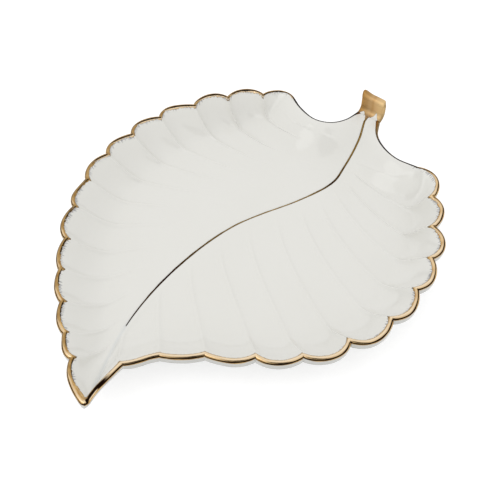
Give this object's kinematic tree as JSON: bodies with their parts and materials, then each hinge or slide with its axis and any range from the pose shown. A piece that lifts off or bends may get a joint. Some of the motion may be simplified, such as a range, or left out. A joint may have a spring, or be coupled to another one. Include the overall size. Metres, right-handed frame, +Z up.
{
  "type": "jewelry tray",
  "caption": "Leaf-shaped porcelain dish for jewelry, with a scalloped and fluted rim edged in gold, a gilded midrib, a curled stem to hold it by and a low foot ring.",
  "frame": {"origin": "on the table, under the centre of the tray's bounding box", "axes": "+X from the leaf's tip to its stem, +Y across the leaf to its left side seen from the tip, +Z up from the table"},
  "size_m": [0.2404, 0.1898, 0.03],
  "materials": {
    "white_glaze": "clear gloss glaze over white porcelain",
    "gold_lustre": "fired gold lustre, bright and brushed on by hand",
    "bare_porcelain": "unglazed, ground flat"
  },
  "bodies": {
    "root": {"leaf_body": "white_glaze", "rim_gilding": "gold_lustre", "midrib_gilding": "gold_lustre", "stem_handle": "gold_lustre", "foot_ring": "bare_porcelain"}
  },
  "joints": []
}
